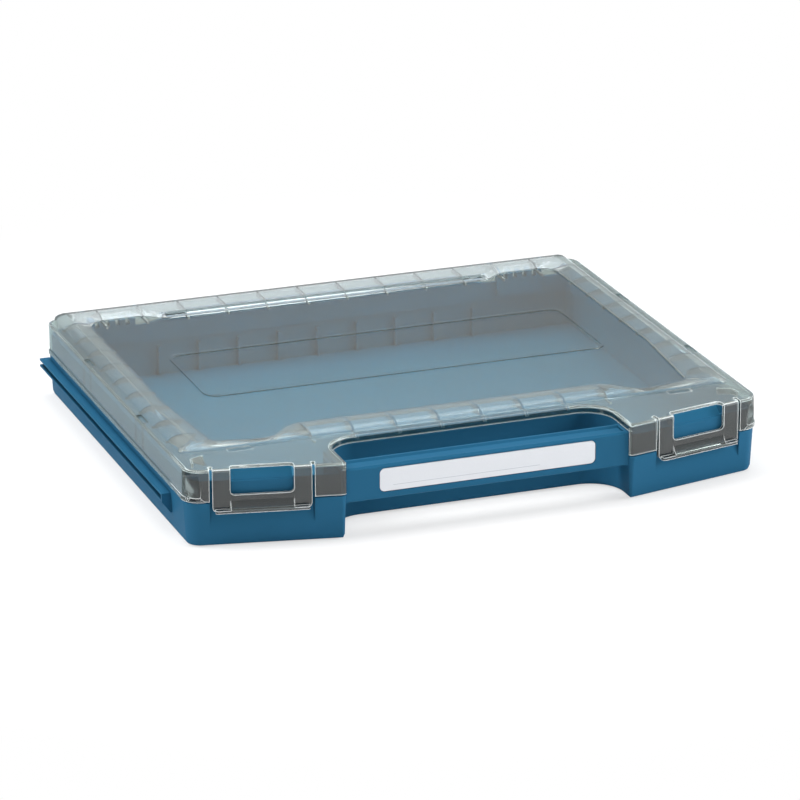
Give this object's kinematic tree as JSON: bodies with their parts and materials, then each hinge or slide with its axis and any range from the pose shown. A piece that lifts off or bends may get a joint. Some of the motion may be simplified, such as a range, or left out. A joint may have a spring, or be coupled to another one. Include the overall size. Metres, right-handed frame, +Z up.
{
  "type": "flat carry case with clear lid",
  "caption": "Flat moulded carry case for small parts: open tray with front handle and side runner rails, closed by a clear smoke lid on rear hinges with flexing front latches.",
  "frame": {"origin": "middle of the footprint, on the surface that the case stands on", "axes": "+X to the right along the front, +Y to the hinge side, +Z up"},
  "size_m": [0.367, 0.312, 0.0506],
  "materials": {
    "tray_plastic": "blue moulded ABS, fine matte texture",
    "lid_plastic": "clear smoke-tinted moulded polycarbonate, polished",
    "pin_steel": "plain steel wire pin",
    "label_film": "white printed film, blank"
  },
  "bodies": {
    "tray": {"tray": "tray_plastic", "label": "label_film", "hinge_pin_left": "pin_steel", "hinge_pin_right": "pin_steel"},
    "lid": {"lid": "lid_plastic"},
    "latch_left": {"latch_left": "lid_plastic"},
    "latch_right": {"latch_right": "lid_plastic"}
  },
  "joints": [
    {"name": "lid_hinge", "type": "hinge", "parent": "tray", "child": "lid", "pos_m": [0, 0.1528, 0.028], "axis": [-1, 0, 0], "range_deg": [0, 180]},
    {"name": "latch_left_flex", "type": "hinge", "parent": "lid", "child": "latch_left", "pos_m": [-0.13583, -0.1459, 0.04705], "axis": [-0.9781, 0.2079, 0], "range_deg": [0, 12], "stiffness_Nm_per_rad": 1.5},
    {"name": "latch_right_flex", "type": "hinge", "parent": "lid", "child": "latch_right", "pos_m": [0.13583, -0.1459, 0.04705], "axis": [-0.9781, -0.2079, 0], "range_deg": [0, 12], "stiffness_Nm_per_rad": 1.5}
  ]
}
